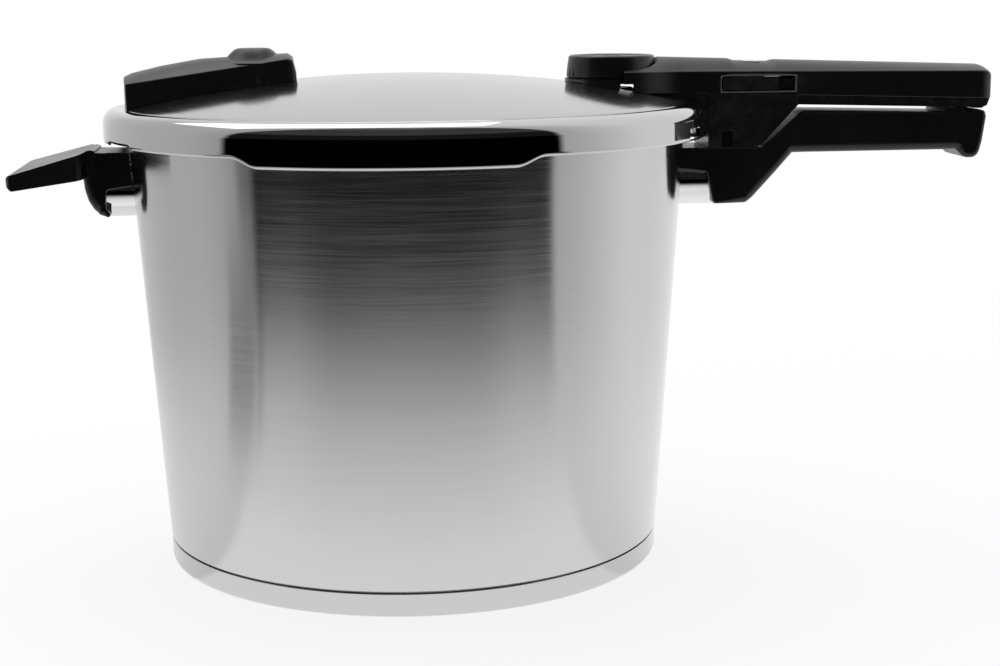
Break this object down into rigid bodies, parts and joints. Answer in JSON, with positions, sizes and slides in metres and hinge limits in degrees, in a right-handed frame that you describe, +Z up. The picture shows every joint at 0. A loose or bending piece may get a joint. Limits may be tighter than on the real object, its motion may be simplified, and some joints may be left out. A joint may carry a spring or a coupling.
{
  "type": "stovetop pressure cooker",
  "caption": "Tall steel pressure cooker with a bayonet lid, capsule base, long two-part main handle, helper paddle, rotary pressure selector and handle lock.",
  "frame": {"origin": "centre of the flat underside of the base, on the pot's axis", "axes": "+Z up along the pot's axis, +X along the long main handle, -Y towards the front"},
  "size_m": [0.4658, 0.284, 0.242],
  "materials": {
    "steel_satin": "satin brushed, fine horizontal lines",
    "steel_polished": "mirror polished",
    "steel_plain": "plain",
    "aluminium": "plain",
    "black_plastic": "satin moulded",
    "black_rubber": "matte silicone",
    "white_plastic": "satin moulded",
    "green_plastic": "satin moulded",
    "clear": "clear lens"
  },
  "bodies": {
    "pot": {"pot_body": "steel_satin", "base_disc": "aluminium", "base_cap": "steel_polished", "main_bracket": "steel_plain", "main_flame_guard": "steel_polished", "pot_handle": "black_plastic", "pot_handle_screw": "steel_plain", "helper_bracket": "steel_plain", "helper_flame_guard": "steel_polished", "helper_handle": "black_plastic", "helper_handle_screw": "steel_plain"},
    "lid": {"lid_shell": "steel_polished", "sealing_ring": "black_rubber", "lid_handle_base": "black_plastic", "lid_handle_cover": "black_plastic", "lid_handle_screws": "steel_plain", "cover_screws": "steel_plain", "valve_body": "steel_plain", "valve_nut": "steel_plain", "valve_gasket": "black_rubber", "valve_spring": "steel_plain", "selector_clip": "steel_plain", "vent_grommet": "black_rubber", "bolt_spring": "steel_plain", "lock_window": "clear", "lid_grip": "black_plastic", "lid_grip_screws": "steel_plain"},
    "selector": {"pressure_selector": "black_plastic"},
    "indicator": {"pressure_indicator": "white_plastic"},
    "vent_pin": {"vent_pin": "steel_plain"},
    "slider": {"lock_slider": "black_plastic", "lock_flag": "green_plastic"},
    "bolt": {"lock_bolt": "steel_plain"}
  },
  "joints": [
    {"name": "lid_turn", "type": "hinge", "parent": "pot", "child": "lid", "pos_m": [0, 0, 0.2], "axis": [0, 0, 1], "range_deg": [0, 50]},
    {"name": "selector_turn", "type": "hinge", "parent": "lid", "child": "selector", "pos_m": [0.098, 0, 0.23], "axis": [0, 0, 1], "range_deg": [0, 120]},
    {"name": "indicator_rise", "type": "slide", "parent": "lid", "child": "indicator", "axis": [0, 0, 1], "range_m": [0, 0.006], "stiffness_N_per_m": 400, "springref_m": -0.001, "deforming": ["valve_spring"]},
    {"name": "vent_rise", "type": "slide", "parent": "lid", "child": "vent_pin", "axis": [0, 0, 1], "range_m": [0, 0.003]},
    {"name": "slider_slide", "type": "slide", "parent": "lid", "child": "slider", "axis": [1, 0, 0], "range_m": [0, 0.008]},
    {"name": "bolt_drop", "type": "slide", "parent": "lid", "child": "bolt", "axis": [0, 0, -1], "range_m": [0, 0.004], "deforming": ["bolt_spring"]}
  ],
  "couplings": [
    {"joint": "bolt_drop", "follows": "slider_slide", "ratio": 0.5}
  ]
}
